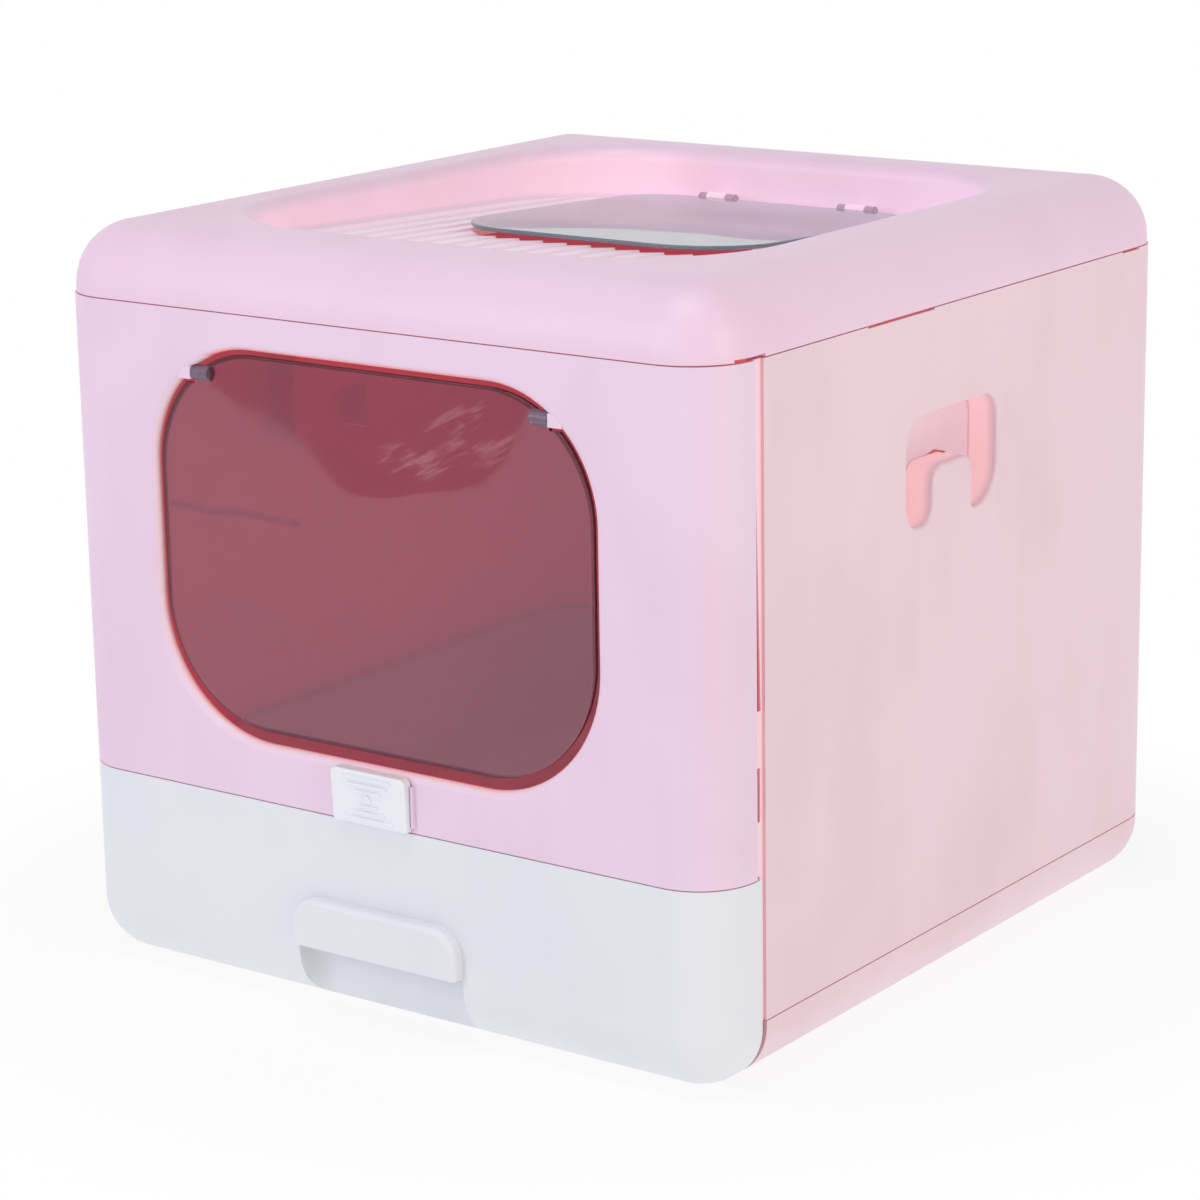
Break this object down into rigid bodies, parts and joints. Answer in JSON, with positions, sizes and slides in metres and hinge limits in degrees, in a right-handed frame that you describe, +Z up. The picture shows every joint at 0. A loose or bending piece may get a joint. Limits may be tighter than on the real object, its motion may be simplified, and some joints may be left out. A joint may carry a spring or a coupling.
{
  "type": "drawer litter box",
  "caption": "Enclosed cat litter box with rounded edges, a swing flap in front, a flip lid on the ridged top and a slide-out drawer with a pull.",
  "frame": {"origin": "centre of the whole outline, drawer pull included, on the floor", "axes": "+X to the right as one faces the front, +Y from the front to the back, +Z up"},
  "size_m": [0.4, 0.437, 0.384],
  "materials": {
    "lavender_pink": "semi-gloss moulded plastic",
    "blush_pink": "satin moulded plastic",
    "cool_white": "semi-gloss moulded plastic",
    "smoke_tint": "clear tinted plastic, polished",
    "glide_white": "slippery plastic",
    "pad_rubber": "matte",
    "screw_steel": "plated"
  },
  "bodies": {
    "shell": {"base_tray": "blush_pink", "anti_slip_pads": "pad_rubber", "drawer_glide_left": "glide_white", "drawer_glide_right": "glide_white", "side_panel_left": "blush_pink", "side_panel_right": "blush_pink", "rear_panel": "blush_pink", "front_panel": "lavender_pink", "top_cover": "lavender_pink"},
    "drawer": {"drawer_front": "cool_white", "drawer_pan": "cool_white", "drawer_screws": "screw_steel"},
    "flap": {"front_flap": "smoke_tint"},
    "lock": {"lock_slider": "cool_white", "lock_retainer": "cool_white", "lock_screws": "screw_steel"},
    "lid": {"flip_lid": "smoke_tint", "flip_lid_pin_left": "screw_steel", "flip_lid_pin_right": "screw_steel"}
  },
  "joints": [
    {"name": "drawer_slide", "type": "slide", "parent": "shell", "child": "drawer", "axis": [0, -1, 0], "range_m": [0, 0.32]},
    {"name": "flap_swing", "type": "hinge", "parent": "shell", "child": "flap", "pos_m": [0, -0.2075, 0.317], "axis": [1, 0, 0], "range_deg": [-80, 80]},
    {"name": "lid_turn", "type": "hinge", "parent": "shell", "child": "lid", "pos_m": [0, 0.15603, 0.35921], "axis": [-1, 0, 0], "range_deg": [0, 100]},
    {"name": "lock_slide", "type": "slide", "parent": "shell", "child": "lock", "axis": [0, 0, -1], "range_m": [0, 0.006]}
  ]
}
